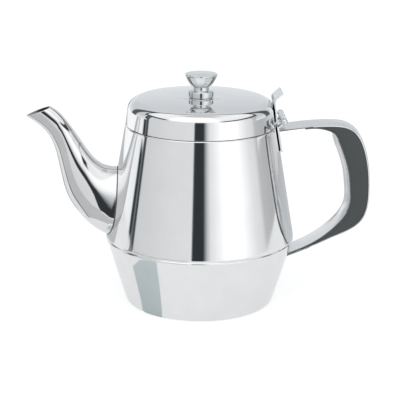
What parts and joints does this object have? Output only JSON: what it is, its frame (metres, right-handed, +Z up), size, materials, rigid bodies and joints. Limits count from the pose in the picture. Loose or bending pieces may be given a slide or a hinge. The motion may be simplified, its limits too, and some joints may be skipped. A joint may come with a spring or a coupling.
{
  "type": "teapot",
  "caption": "Double-cone stainless steel teapot with a hinged lid and thumb tab, turned knob, swan-neck spout with a strainer, and an open two-band handle around a dark core.",
  "frame": {"origin": "on the body's axis, in the plane of the ring that stands on the table", "axes": "+Z up along the body's axis; +X from the axis to the handle, so the spout points along -X; the hinge pin runs along Y"},
  "size_m": [0.2413, 0.1332, 0.1636],
  "materials": {
    "polished_steel": "mirror-polished stainless steel",
    "sheet_steel": "fine satin stainless sheet",
    "handle_moulding": "matte dark grey heat-resistant moulding"
  },
  "bodies": {
    "pot": {"body_base": "polished_steel", "body_upper": "polished_steel", "spout_front_half": "polished_steel", "spout_rear_half": "polished_steel", "body_hinge_leaf": "sheet_steel", "hinge_pin": "polished_steel", "hinge_pin_cap": "polished_steel", "handle_outer_band": "sheet_steel", "handle_inner_band": "sheet_steel", "handle_core": "handle_moulding"},
    "lid": {"lid_shell": "polished_steel", "lid_hinge_leaf": "sheet_steel", "knob": "polished_steel", "knob_washer": "sheet_steel", "knob_screw": "sheet_steel"}
  },
  "joints": [
    {"name": "lid_hinge", "type": "hinge", "parent": "pot", "child": "lid", "pos_m": [0.057, 0, 0.1324], "axis": [0, 1, 0], "range_deg": [0, 95]}
  ]
}
